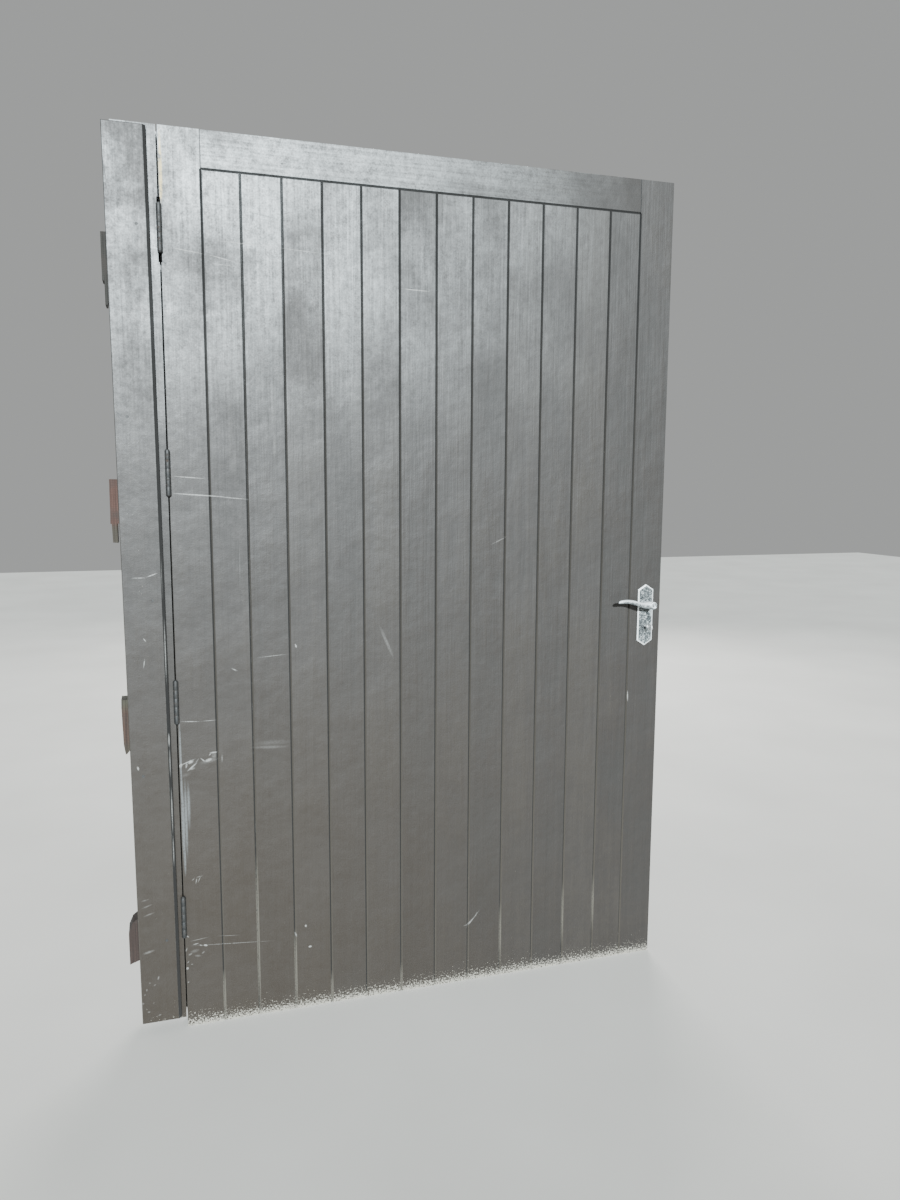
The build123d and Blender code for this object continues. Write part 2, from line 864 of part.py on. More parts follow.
# Spindle: square bar from lever to lever
spindle_end = front - lever_stand_off + spindle_in_lever / 2
with BuildPart() as spindle:
    with BuildSketch(upright(-spindle_end)):
        with Locations((spindle_x, follower_height)):
            Rectangle(spindle_size, spindle_size)
    extrude(amount=-2 * spindle_end)
    chamfer(spindle.faces().filter_by(Axis.Y).edges(), 0.8)
save(spindle, "spindle")


# Gable-ended outline of the door plates
plate_left, plate_right = spindle_x - plate_width / 2, spindle_x + plate_width / 2
plate_bottom, plate_top = plate_centre - plate_height / 2, plate_centre + plate_height / 2
gabled = [
    (plate_right, plate_top - plate_gable),
    (spindle_x, plate_top),
    (plate_left, plate_top - plate_gable),
    (plate_left, plate_bottom + plate_gable),
    (spindle_x, plate_bottom),
    (plate_right, plate_bottom + plate_gable),
]

# Outside plate with a bevelled rim, and its mirror image inside
with BuildPart() as outside_plate:
    outline(upright(front), gabled, plate_thickness - plate_bevel)
    with BuildSketch(upright(plate_front + plate_bevel)):
        with BuildLine():
            Polyline(*gabled, close=True)
        make_face()
    extrude(amount=plate_bevel, taper=math.degrees(math.atan2(plate_rim, plate_bevel)))
    neck_hole = neck_radius + neck_clearance
    round_bar(upright(front), spindle_place, neck_hole, plate_thickness, Mode.SUBTRACT)
    key_opening(upright(front), keyway_radius, keyway_width, keyway_reach, plate_thickness)
    with Locations(*plate_screw_places):
        add(plate_screw, mode=Mode.SUBTRACT)
save(outside_plate, "outside_plate")

with BuildPart() as inside_plate:
    mirror(outside_plate.part, about=Plane.XZ)
save(inside_plate, "inside_plate")

with BuildPart() as plate_screws:
    with Locations(*plate_screw_places):
        add(plate_screw)
save(plate_screws, "plate_screws")

# Lever: a turned neck and boss with a ringed end, and an arm that arches away from the boss
boss_end = front - lever_stand_off
boss_start = boss_end + lever_boss_length
spindle_socket = (spindle_size + 2 * spindle_clearance) / 2
arm_y = boss_end + lever_boss_length / 2
with BuildPart() as outside_lever:
    with BuildSketch(Plane.XY.offset(follower_height)):
        with BuildLine():
            x = spindle_x
            Polyline(
                (x, boss_end + 1.2),
                (x, front),
                (x + neck_radius, front),
                (x + neck_radius, boss_start + 2),
                (x + lever_boss_radius, boss_start),
                (x + lever_boss_radius, boss_end + 3),
            )
            RadiusArc(
                (x + lever_boss_radius, boss_end + 3), (x + lever_boss_radius - 3, boss_end), 3
            )
            Polyline(
                (x + lever_boss_radius - 3, boss_end),
                (x + lever_boss_radius - 4.5, boss_end),
                (x + lever_boss_radius - 6, boss_end + 1.2),
                (x, boss_end + 1.2),
            )
        make_face()
    revolve(axis=Axis((spindle_x, 0, follower_height), (0, 1, 0)))
    # Sections of the arm from the boss to the tip: share of the reach, share of the rise, half
    # thickness in Y and half height in Z
    sections = [
        (0.0, 0.0, 6.2, 9.6),
        (0.20, 0.05, 6.4, 8.8),
        (0.40, 0.36, 6.2, 6.8),
        (0.62, 0.86, 5.6, 5.8),
        (0.80, 1.0, 5.2, 5.2),
        (0.92, 0.94, 4.6, 4.6),
        (0.99, 0.84, 2.8, 3.0),
    ]
    for reach, rise, half_y, half_z in sections:
        centre = (spindle_x - lever_reach * reach, arm_y, follower_height + lever_rise * rise)
        with BuildSketch(Plane(origin=centre, x_dir=(0, 1, 0), z_dir=(-1, 0, 0))):
            Ellipse(half_y, half_z)
    loft()
    with BuildSketch(upright(front)):
        with Locations((spindle_x, follower_height)):
            Rectangle(2 * spindle_socket, 2 * spindle_socket)
    extrude(amount=front - spindle_end + spindle_clearance, mode=Mode.SUBTRACT)
save(outside_lever, "outside_lever")

# The inside lever is the outside one mirrored, with a threaded hole for the grub screw
grub_y = -(front - grub_setback)
grub_top = follower_height - spindle_size / 2
grub_length = neck_radius - spindle_size / 2
with BuildPart() as inside_lever:
    mirror(outside_lever.part, about=Plane.XZ)
    with BuildSketch(Plane.XY.offset(follower_height - neck_radius - 1)):
        with Locations((spindle_x, grub_y)):
            Circle(grub_radius)
    extrude(amount=neck_radius + 1 - spindle_size / 2, mode=Mode.SUBTRACT)
save(inside_lever, "inside_lever")

with BuildPart() as lever_grub_screw:
    with BuildSketch(Plane.XY.offset(grub_top)):
        with Locations((spindle_x, grub_y)):
            Circle(grub_radius)
    extrude(amount=-grub_length)
save(lever_grub_screw, "lever_grub_screw")

# Key: round stem, oval bow with an open middle, and a bit that points down at rest
key_tip = case_back
key_bow_centre = front - key_stand_off + key_bow_width / 2
bit_middle = (case_inner_front + case_inner_back) / 2
with BuildPart() as key:
    with BuildSketch(upright(key_tip)):
        with Locations((spindle_x, key_height)):
            Circle(key_radius)
    extrude(amount=key_tip - key_bow_centre - key_bow_width / 2 + key_bow_rim / 2)
    with BuildSketch(Plane.YZ.offset(spindle_x - key_bow_thickness / 2)):
        with Locations((key_bow_centre, key_height)):
            Ellipse(key_bow_width / 2, key_bow_height / 2)
            Ellipse(
                key_bow_width / 2 - key_bow_rim,
                key_bow_height / 2 - key_bow_rim,
                mode=Mode.SUBTRACT,
            )
    extrude(amount=key_bow_thickness)
    slab(
        (spindle_x - key_bit_thickness / 2, spindle_x + key_bit_thickness / 2),
        (bit_middle - key_bit_width / 2, bit_middle + key_bit_width / 2),
        (key_height - key_bit_reach, key_height),
    )
save(key, "key")
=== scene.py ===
import json
import math

import bmesh
import bpy
from mathutils import Matrix, Vector, noise


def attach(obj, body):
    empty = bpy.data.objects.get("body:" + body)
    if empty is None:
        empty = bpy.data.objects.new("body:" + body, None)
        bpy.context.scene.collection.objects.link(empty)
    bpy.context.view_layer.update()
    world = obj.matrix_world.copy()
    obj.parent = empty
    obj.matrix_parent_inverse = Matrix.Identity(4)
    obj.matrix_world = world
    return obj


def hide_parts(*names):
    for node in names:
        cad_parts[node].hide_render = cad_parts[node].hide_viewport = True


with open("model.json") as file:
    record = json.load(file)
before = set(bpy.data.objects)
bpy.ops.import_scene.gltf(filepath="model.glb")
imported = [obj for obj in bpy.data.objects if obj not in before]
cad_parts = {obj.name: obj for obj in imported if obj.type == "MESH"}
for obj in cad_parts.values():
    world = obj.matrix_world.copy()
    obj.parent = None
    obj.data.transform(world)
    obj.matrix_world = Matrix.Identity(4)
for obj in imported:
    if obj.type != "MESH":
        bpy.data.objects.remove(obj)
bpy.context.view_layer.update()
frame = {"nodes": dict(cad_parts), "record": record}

# A side-hung garage door leaf on its hanging post. Lengths are in metres, or in millimetres where MM
# follows them or a comment says so
MM = 0.001

# Settings that many nodes share
ADD = {"operation": "ADD"}
MULTIPLY = {"operation": "MULTIPLY"}
MULTIPLY_ADD = {"operation": "MULTIPLY_ADD"}
LARGER = {"operation": "MAXIMUM"}
SMALLER = {"operation": "MINIMUM"}
COLOURS = {"data_type": "RGBA"}
TINTS = {"data_type": "RGBA", "blend_type": "MULTIPLY"}
EASY = {"interpolation_type": "SMOOTHSTEP"}
# Sockets of a colour mix: its lower colour, its upper colour and what it gives
UNDER, OVER, MIXED = 6, 7, 2


def linear(code):
    """sRGB hex colour as the linear colour that a shader socket takes."""
    parts = [int(code[i:i + 2], 16) / 255 for i in (1, 3, 5)]
    return tuple(c / 12.92 if c <= 0.04045 else ((c + 0.055) / 1.055) ** 2.4 for c in parts) + (1,)


def per_metre(size):
    """How many times a pattern of this size in millimetres comes in a metre, to two figures."""
    return float(f"{1000 / size:.2g}")


def put(tree, kind, settings=None, sockets=None, stops=None):
    """Adds one node with its settings, its socket values or links, and the stops of a ramp. A socket
    goes by its name, or by its number where names repeat."""
    node = tree.nodes.new("ShaderNode" + kind)
    for name, value in (settings or {}).items():
        setattr(node, name, value)
    for name, value in (sockets or {}).items():
        if isinstance(value, bpy.types.NodeSocket):
            tree.links.new(value, node.inputs[name])
        else:
            node.inputs[name].default_value = value
    if stops:
        ramp = node.color_ramp
        while len(ramp.elements) < len(stops):
            ramp.elements.new(1)
        for element, (place, colour) in zip(ramp.elements, stops):
            element.position = place
            element.color = linear(colour) if isinstance(colour, str) else (colour,) * 3 + (1,)
    return node


def start(name):
    """A new material, its node tree and its shader."""
    material = bpy.data.materials.new(name)
    material.use_nodes = True
    return material, material.node_tree, material.node_tree.nodes["Principled BSDF"]


# Marks on the face of the paint, in millimetres: middle X and Z, half length, half width, turn in
# degrees and strength. Most are what wear leaves: scrapes, rubs, specks and chips; four faint strokes
# on the post are painted flecks of sunlight
LEAF_SCRATCHES = [
    (-518, 1323, 72, 1.8, -4, 1), (-441, 1316, 42, 1.3, -5, 0.6), (-541, 1364, 41, 1.5, -4, 0.75),
    (-528, 1871, 41, 1.4, -7, 0.8), (-453, 1860, 37, 1.3, -11, 0.7), (-450, 1846, 33, 1.1, -4, 0.5),
    (7, 1819, 38, 1.8, -2, 0.8), (-581, 675, 6, 4, 60, 1), (-565, 682, 22, 1.5, 21, 0.7),
    (-558, 682, 8, 5, 30, 0.8), (-568, 674, 8, 2.6, 78, 0.7), (-555, 669, 17, 2.2, 40, 0.8),
    (-556, 665, 9, 3.4, 8, 0.4), (-543, 683, 9, 1.2, 55, 0.35), (-529, 684, 9, 1.7, -42, 0.8),
    (-516, 683, 11, 4.4, 20, 0.8), (-514, 681, 25, 6, 10, 0.16), (-504, 701, 11, 2.2, 3, 0.9),
    (-512, 697, 5, 1.5, 50, 0.7), (-503, 692, 12, 7, 75, 0.16), (-484, 685, 12, 2.6, 88, 0.2),
    (-571, 650, 14, 6, 20, 0.07), (-561, 384, 6, 1.4, 40, 0.3), (-554, 379, 9, 1.7, 78, 0.4),
    (-547, 382, 10, 1.3, 66, 0.35), (-546, 389, 9, 2.2, 8, 0.2),
    (-344, 1520, 75, 10, 88, 0.09), (-342, 1440, 34, 5, 88, 0.14), (-438, 1400, 36, 10, 80, 0.06),
    (-364, 714, 54, 8, 0, 0.06), (230, 1205, 27, 1.6, 25, 0.3),
    (-71, 953, 50, 5, -67, 0.16), (167, 175, 33, 1.4, 50, 0.5), (159, 167, 15, 3, 46, 0.5),
    (149, 160, 11, 1.5, 12, 0.3), (176, 186, 9, 1.3, 80, 0.3),
    (-300, 954, 6, 2.4, -73, 1), (-556, 782, 25, 1.2, -4, 0.7), (-513, 781, 21, 1, 1, 0.5),
    (-470, 203, 112, 1.2, -5, 0.3), (-481, 225, 31, 1.2, -6, 0.2), (-537, 208, 6, 3, -15, 1),
    (-287, 222, 4, 3.2, -71, 1), (-277, 164, 5, 3.2, 5, 1), (-313, 202, 8, 2.6, -71, 0.7),
    (617, 766, 17, 2, -88, 0.9), (-357, 932, 42, 1.2, 4, 0.4), (-449, 903, 9, 2, -27, 0.5),
    (-368, 703, 52, 5, -3, 0.11), (-404, 1896, 84, 1.6, -2, 0.45), (-269, 1890, 68, 1.4, -3, 0.4),
    (-583, 252, 11, 1.7, 84, 0.6), (-580, 238, 6, 1.8, -35, 0.6), (-583, 203, 7, 1.8, 70, 0.35),
    (-574, 190, 6, 2.8, 25, 0.3), (-563, 197, 13, 5, 10, 0.12), (-560, 215, 9, 1.6, 8, 0.5),
    (-549, 210, 6, 1.8, -20, 0.5), (-556, 183, 9, 3.6, -10, 0.16), (-543, 190, 6, 2.4, 40, 0.2),
    (-582, 154, 4, 3.4, 70, 0.8), (-580, 170, 4, 1.6, 50, 0.35), (-571, 163, 3, 1.5, 0, 0.3),
    (-581, 117, 3, 1.6, 30, 0.4), (-552, 226, 26, 1.3, 6, 0.25), (-430, 1150, 60, 1.0, 89, 0.2),
]
POST_SCRATCHES_AND_SUN_FLECKS = [
    (-658, 1134, 19, 1.6, 0, 0.5), (-630, 1140, 15, 1.7, 19, 0.8), (-652, 989, 6, 1.5, -57, 0.7),
    # The four faint strokes at X -675 to -667 and Z 221 to 354, strength 0.12 to 0.2, are painted flecks
    # of sunlight, not wear
    (-655, 934, 13, 1.5, -99, 0.6), (-678, 683, 6, 2.6, -77, 1), (-675, 354, 12, 2.4, 11, 0.12),
    (-671, 338, 15, 2.2, 18, 0.15), (-667, 317, 15, 2.6, 17, 0.14), (-671, 221, 16, 4, 13, 0.2),
    (-607, 960, 88, 1.7, 90, 0.8), (-606, 745, 20, 2.2, 90, 1), (-605.5, 690, 44, 1.7, 90, 0.6),
    (-605, 570, 66, 2.0, 90, 0.8), (-605, 470, 46, 1.7, 90, 0.7), (-609, 1135, 60, 0.9, 90, 0.35),
    (-651, 151, 6, 2.4, 75, 0.3), (-679, 124, 4, 1.8, 80, 0.3), (-671, 141, 3, 2, 0, 0.2),
    (-660, 134, 4, 1.5, 30, 0.22), (-684, 112, 3, 1.8, 40, 0.22), (-689, 90, 4, 2.6, 20, 0.2),
    (-676, 66, 4, 2.2, 0, 0.25), (-651, 54, 5, 2.4, 30, 0.2), (-664, 88, 3, 1.5, 60, 0.16),
]
# Bare and filled patches: the paint has gone from the arris, or a strip was filled and never painted
LEAF_BARE = [
    (-580, 2088, 44, 3.4, 90, 0.5), (-580, 2052, 50, 4.6, 90, 0.9), (-580, 2015, 42, 4.4, 90, 0.9),
    (-581, 1990, 26, 3, 90, 0.6),
]
LEAF_FILLED = [
    (-580, 525, 118, 4.6, 90, 1), (-573, 540, 108, 4, 90, 0.8), (-566, 572, 66, 4.6, 90, 0.6),
    (-579, 440, 50, 3.4, 90, 0.8), (-581, 700, 96, 2.8, 90, 1), (-581, 615, 60, 3, 90, 0.9),
]
# Dark marks: the joints of the stiles and the top rail, shakes in the timber, dents and nail holes
LEAF_DARK = [
    (-494.25, 2092, 400, 1.7, 90, 1), (612.75, 2092, 400, 1.5, 90, 1), (-312, 2079, 3, 2.4, 0, 1),
    (-450, 1975, 46, 1.6, -3, 0.3), (-360, 1962, 52, 1.6, -8, 0.34), (-300, 1972, 26, 1.6, 16, 0.3),
    (-8, 1822, 12, 1.6, -4, 0.7), (-579, 1842, 9, 2.2, -40, 0.9), (-588, 1385, 5, 3, 0, 0.6),
]
POST_DARK = [
    (-697, 2030, 38, 1.4, 98, 1), (-701, 2075, 16, 1.3, 97, 0.9), (-693, 1985, 16, 1.2, 100, 0.8),
    (-682, 2094, 12, 1.2, 20, 0.5), (-668, 2085, 18, 1.4, -12, 0.4), (-676, 2066, 14, 1.2, 30, 0.4),
    (-689, 1505, 13, 2, -38, 0.9), (-685, 1494, 12, 1.6, -52, 0.8), (-660, 1982, 5, 2.6, 0, 0.5),
    (-640, 1976, 16, 1, -6, 0.4),
]
# Painted shadow on the plate: the shade of the key round the keyhole, and of the lever
PLATE_SHADOW = [(655, 960, 26, 15, 78, 0.55), (661, 1014, 24, 15, 0, 0.5), (658, 1045, 20, 14, 60, 0.3)]
# Dust that lies in the V joints: places along the joint lines
JOINT_DUST = [
    (-407.75, 215, 225, 9, 90, 1), (-494.25, 65, 75, 9, 90, 1), (-314.35, 105, 120, 9, 90, 1),
    (-220.95, 30, 60, 9, 90, 0.8), (246.05, 120, 95, 9, 90, 0.7), (432.85, 150, 100, 9, 90, 0.7),
    (526.25, 170, 90, 9, 90, 0.7), (-34.15, 25, 60, 9, 90, 0.7),
]
# Y of the faces that the marks lie on, in millimetres: the leaf's, the post's and the plate's
LEAF_FACE, POST_FACE, PLATE_FACE = -22, -42, -30
# A mark reaches this deep into its face, in millimetres. Its strength in the middle is so many times
# the strength in its table, and what is over full is cut off, so that only its edge fades
MARK_REACH = 12
MARK_FULLNESS = 2.2

# Where the weather starts to show and where it shows in full, in metres: heights from the foot, and
# places across the door from the sheltered side to the sunny one. The chalk heights and the sunny
# side also place the painted sheen that lightens the top of the hinge side
EARTH_START, EARTH_FULL = 1.3, 0.4
CHALK_AND_SHEEN_START, CHALK_AND_SHEEN_FULL = 1.35, 2.2
DUST_FULL, DUST_END = 0.3, 1.9
GRIT_TOP = 0.13
SHELTERED_SIDE, SUNNY_SIDE = 0.75, -0.6
LEAF_HEIGHT = 2.134

# Colours of the four sawn offcuts, by share of the leaf's height from the lowest up
OFFCUT_COLOURS = [
    (0.0, "#2b1f1a"), (0.20, "#2b1f1a"), (0.338, "#38342a"), (0.350, "#3e2f27"), (0.380, "#3e2f27"),
    (0.390, "#3c3c31"), (0.585, "#38342c"), (0.590, "#453029"), (0.70, "#453029"), (0.72, "#292926"),
]


def marks(tree, coords, table, face):
    """Mask that is highest in the middle of each mark and fades to 0 at its edge. It can pass 1, so
    what uses it limits it."""
    total = None
    for x, z, length, width, turn, strength in table:
        local = put(tree, "Mapping", {"vector_type": "TEXTURE"}, {
            "Vector": coords,
            "Location": (x * MM, face * MM, z * MM),
            "Rotation": (0, -math.radians(turn), 0),
            "Scale": (length * MM, MARK_REACH * MM, width * MM),
        })
        spot = put(tree, "TexGradient", {"gradient_type": "SPHERICAL"}, {"Vector": local.outputs[0]})
        level = put(tree, "Math", MULTIPLY, {0: spot.outputs["Fac"], 1: strength * MARK_FULLNESS})
        if total is None:
            total = level.outputs[0]
        else:
            total = put(tree, "Math", LARGER, {0: total, 1: level.outputs[0]}).outputs[0]
    return total


def painted_softwood(name, turn, across, tables, face):
    """Alkyd satin paint, brushed in two coats on planed softwood and left out of doors for years. It
    gives a dark slate grey with a soft sheen that spreads across the brush strokes, raised grain along
    the timber, chalky tone and a painted sheen from patch to patch, dirt and painted shade in the V
    joints, worn arrises and splashed grit."""
    material, tree, shader = start(name)
    space = put(tree, "TexCoord").outputs
    coords = space["Object"]
    along = put(tree, "Mapping", None, {"Vector": coords, "Rotation": turn}).outputs[0]
    place = put(tree, "SeparateXYZ", None, {0: coords}).outputs

    # Brush lines are under 1 mm apart; drawn 5 mm apart and 200 mm long, so that they show
    size = (per_metre(5), per_metre(5), per_metre(200))
    strokes = put(tree, "Mapping", None, {"Vector": along, "Scale": size})
    brush = put(tree, "TexNoise", None, {
        "Vector": strokes.outputs[0], "Scale": 1, "Detail": 4, "Roughness": 0.6})
    # Growth rings lift the paint about every 12 mm across the boards
    size = (per_metre(12.5), per_metre(12.5), per_metre(625))
    rings = put(tree, "Mapping", None, {"Vector": along, "Scale": size})
    grain = put(tree, "TexNoise", None, {
        "Vector": rings.outputs[0], "Scale": 1, "Detail": 5, "Roughness": 0.62, "Distortion": 0.4})
    # Runs and wipe marks, about 30 mm wide and 400 mm long
    size = (per_metre(29.4), per_metre(29.4), per_metre(385))
    wipes = put(tree, "Mapping", None, {"Vector": along, "Scale": size})
    run = put(tree, "TexNoise", None, {
        "Vector": wipes.outputs[0], "Scale": 1, "Detail": 5, "Roughness": 0.6, "Distortion": 0.8})
    # Weathered and warped patches, 250 mm across, other ones on each board: its own tone, times 90,
    # moves it to another part of the pattern
    tone = put(tree, "Attribute", {"attribute_name": "board_tone"}).outputs["Fac"]
    own = put(tree, "Math", MULTIPLY, {0: tone, 1: 90.0})
    patch = put(tree, "TexNoise", {"noise_dimensions": "4D"}, {
        "Vector": coords, "W": own.outputs[0], "Scale": per_metre(250), "Detail": 4, "Roughness": 0.55})
    # Mottle of dust and dried drops, 15 mm
    mottle = put(tree, "TexNoise", None, {
        "Vector": coords, "Scale": per_metre(15.4), "Detail": 6, "Roughness": 0.72})
    # Crumbs of splashed grit and specks of chalk, 4 mm
    crumbs = put(tree, "TexNoise", None, {
        "Vector": coords, "Scale": per_metre(4.35), "Detail": 4, "Roughness": 0.7})
    # Grit and flakes are 1 mm; drawn at 2.5 mm, so that they show
    grit = put(tree, "TexNoise", None, {
        "Vector": coords, "Scale": per_metre(2.5), "Detail": 2, "Roughness": 0.6})

    # Each layer has its share of the paint's tone
    blend = put(tree, "Math", MULTIPLY, {0: brush.outputs["Fac"], 1: 0.14})
    for layer, share in ((grain, 0.12), (run, 0.12), (patch, 0.36), (mottle, 0.26)):
        blend = put(tree, "Math", MULTIPLY_ADD, {
            0: layer.outputs["Fac"], 1: share, 2: blend.outputs[0]})
    toned = put(tree, "Math", ADD, {0: blend.outputs[0], 1: tone})
    paint = put(tree, "ValToRGB", None, {0: toned.outputs[0]}, [
        (0.40, "#1d1a17"), (0.5, "#24201d"), (0.60, "#2d2925")])

    # Splashed earth browns the paint low on the hinge side
    sunny = put(tree, "MapRange", EASY, {
        "Value": place["X"], "From Min": SHELTERED_SIDE, "From Max": SUNNY_SIDE})
    low = put(tree, "MapRange", EASY, {
        "Value": place["Z"], "From Min": EARTH_START, "From Max": EARTH_FULL, "To Max": 0.75})
    film = put(tree, "Math", MULTIPLY, {0: low.outputs[0], 1: sunny.outputs[0]})
    earthy = put(tree, "Mix", COLOURS, {
        0: film.outputs[0], UNDER: paint.outputs[0], OVER: linear("#29221a")})

    # Chalking and painted sheen: the outer face is lightened towards the top of the hinge side, in
    # flecks and strokes; partly paint bleached by the sun, partly a painted highlight where the sheen is
    # brightest
    high = put(tree, "MapRange", EASY, {
        "Value": place["Z"], "From Min": CHALK_AND_SHEEN_START, "From Max": CHALK_AND_SHEEN_FULL})
    way = put(tree, "SeparateXYZ", None, {0: space["Normal"]})
    outer = put(tree, "MapRange", None, {
        "Value": way.outputs["Y"], "From Min": 0.5, "From Max": -0.5})
    bleach_and_sheen = put(tree, "Math", MULTIPLY, {0: high.outputs[0], 1: sunny.outputs[0]})
    bleach_and_sheen = put(tree, "Math", MULTIPLY, {0: bleach_and_sheen.outputs[0], 1: outer.outputs[0]})
    scrub = put(tree, "Math", MULTIPLY_ADD, {0: brush.outputs["Fac"], 1: 0.30, 2: -0.08})
    scrub = put(tree, "Math", MULTIPLY_ADD, {0: crumbs.outputs["Fac"], 1: 0.40, 2: scrub.outputs[0]})
    scrub = put(tree, "Math", MULTIPLY_ADD, {0: mottle.outputs["Fac"], 1: 0.46, 2: scrub.outputs[0]})
    flecks = put(tree, "ValToRGB", None, {0: scrub.outputs[0]}, [(0.38, 0.1), (0.62, 1.0)])
    cloudy = put(tree, "MapRange", None, {
        "Value": patch.outputs["Fac"], "From Min": 0.36, "From Max": 0.60})
    blotchy = put(tree, "Math", MULTIPLY, {0: flecks.outputs[0], 1: cloudy.outputs[0]})
    # How much pale colour is laid on: chalk and painted sheen together
    chalk_and_sheen = put(tree, "Math", MULTIPLY, {0: bleach_and_sheen.outputs[0], 1: blotchy.outputs[0]})
    chalked_and_sheened = put(tree, "Mix", COLOURS, {
        0: chalk_and_sheen.outputs[0], UNDER: earthy.outputs[MIXED], OVER: linear("#afb4b5")})

    # Faces that slope, but aren't arrises, are the V joints
    facing = put(tree, "VectorMath", {"operation": "ABSOLUTE"}, {0: space["Normal"]})
    parts = put(tree, "SeparateXYZ", None, {0: facing.outputs[0]}).outputs
    most = put(tree, "Math", LARGER, {0: parts["X"], 1: parts["Y"]})
    most = put(tree, "Math", LARGER, {0: most.outputs[0], 1: parts["Z"]})
    slope = put(tree, "MapRange", None, {
        "Value": most.outputs[0], "From Min": 0.95, "From Max": 0.78})
    arris = put(tree, "Attribute", {"attribute_name": "arris"})
    joint = put(tree, "Math", {"operation": "SUBTRACT", "use_clamp": True}, {
        0: slope.outputs[0], 1: arris.outputs["Fac"]})
    # They are dark with dirt and painted shade, but dust settles on those that look to the hinge side,
    # the lower the more
    upward = put(tree, "MapRange", None, {
        "Value": place["Z"], "From Min": DUST_FULL, "From Max": DUST_END, "To Min": 0.1, "To Max": 1.0})
    hinge_side = put(tree, "MapRange", None, {
        "Value": way.outputs["X"], "From Min": 0.1, "From Max": -0.1})
    grime_and_shade = put(tree, "Mix", {"data_type": "FLOAT"}, {
        0: hinge_side.outputs[0], 2: 1.0, 3: upward.outputs[0]})
    # The near-black is partly dirt and partly painted shade in the grooves
    dirt_and_shade = put(tree, "Mix", COLOURS, {
        0: grime_and_shade.outputs[0], UNDER: linear("#403b34"), OVER: linear("#161514")})
    caked_and_shaded = put(tree, "Math", MULTIPLY, {0: joint.outputs[0], 1: 0.9})
    dirtied_and_shaded = put(tree, "Mix", COLOURS, {
        0: caked_and_shaded.outputs[0], UNDER: chalked_and_sheened.outputs[MIXED], OVER: dirt_and_shade.outputs[MIXED]})

    # Arrises rub through to the grey of the undercoat in places
    rub = put(tree, "ValToRGB", None, {0: mottle.outputs["Fac"]}, [(0.50, 0.0), (0.60, 0.7)])
    lightened = put(tree, "Math", MULTIPLY, {0: rub.outputs[0], 1: arris.outputs["Fac"]})
    worn = put(tree, "Mix", COLOURS, {
        0: lightened.outputs[0], UNDER: dirtied_and_shaded.outputs[MIXED], OVER: linear("#6f7270")})

    # Splashed grit along the foot, thickest at the ground
    foot = put(tree, "MapRange", None, {"Value": place["Z"], "From Min": GRIT_TOP, "From Max": 0.0})
    thick = put(tree, "Math", {"operation": "POWER"}, {0: foot.outputs[0], 1: 3.5})
    level = put(tree, "Math", MULTIPLY_ADD, {0: thick.outputs[0], 1: 0.31, 2: -0.72})
    splash = put(tree, "Math", ADD, {0: crumbs.outputs["Fac"], 1: level.outputs[0]})
    splashed = put(tree, "MapRange", None, {
        "Value": splash.outputs[0], "From Min": 0.0, "From Max": 0.04})
    gritty = put(tree, "Mix", COLOURS, {
        0: splashed.outputs[0], UNDER: worn.outputs[MIXED], OVER: linear("#8d897f")})
    colour = gritty.outputs[MIXED]

    # The marks of the tables, each kind with its own colour; all but the dark ones are ragged
    crumbly = put(tree, "MapRange", None, {
        "Value": grit.outputs["Fac"], "From Min": 0.30, "From Max": 0.50})
    flaky = put(tree, "MapRange", None, {
        "Value": mottle.outputs["Fac"], "From Min": 0.40, "From Max": 0.52})
    for kind, edge, shade in (
        ("dust", crumbly, "#57534b"), ("filled", crumbly, "#545656"), ("bare", flaky, "#b5a066"),
        ("scratch_and_sun_fleck", crumbly, "#7e7d7a"), ("dark", None, "#0c0c0c"),
    ):
        if kind not in tables:
            continue
        mask = marks(tree, coords, tables[kind], face)
        if edge:
            mask = put(tree, "Math", {"operation": "MULTIPLY", "use_clamp": True}, {
                0: mask, 1: edge.outputs[0]}).outputs[0]
        else:
            mask = put(tree, "Math", SMALLER, {0: mask, 1: 1.0}).outputs[0]
        if kind == "dust":
            mask = put(tree, "Math", MULTIPLY, {0: mask, 1: joint.outputs[0]}).outputs[0]
        colour = put(tree, "Mix", COLOURS, {
            0: mask, UNDER: colour, OVER: linear(shade)}).outputs[MIXED]
    tree.links.new(colour, shader.inputs["Base Color"])

    # The sheen comes and goes: rubbed strokes shine, weathered patches and V joints are dull
    gloss = put(tree, "MapRange", None, {
        "Value": scrub.outputs[0], "From Min": 0.30, "From Max": 0.70, "To Min": 0.55, "To Max": 0.33})
    dull = put(tree, "MapRange", None, {
        "Value": patch.outputs["Fac"], "From Min": 0.34, "From Max": 0.58,
        "To Min": 0.10, "To Max": 0.0})
    sheen = put(tree, "Math", ADD, {0: gloss.outputs[0], 1: dull.outputs[0]})
    matt = put(tree, "Math", {"operation": "MULTIPLY_ADD", "use_clamp": True}, {
        0: joint.outputs[0], 1: 0.5, 2: sheen.outputs[0]})
    tree.links.new(matt.outputs[0], shader.inputs["Roughness"])
    shader.inputs["Anisotropic"].default_value = 0.15
    spread = put(tree, "CombineXYZ", None, {"X": across[0], "Y": across[1], "Z": across[2]})
    tree.links.new(spread.outputs[0], shader.inputs["Tangent"])

    # Height of each layer in millimetres
    normal = None
    for layer, height in (
        (patch, 6.0), (run, 0.5), (grain, 0.32), (brush, 0.2), (mottle, 0.3), (crumbs, 0.12),
        (grit, 0.06),
    ):
        bump = put(tree, "Bump", None, {
            "Strength": 1, "Distance": height * MM, "Height": layer.outputs["Fac"]})
        if normal:
            tree.links.new(normal, bump.inputs["Normal"])
        normal = bump.outputs[0]
    tree.links.new(normal, shader.inputs["Normal"])
    return material


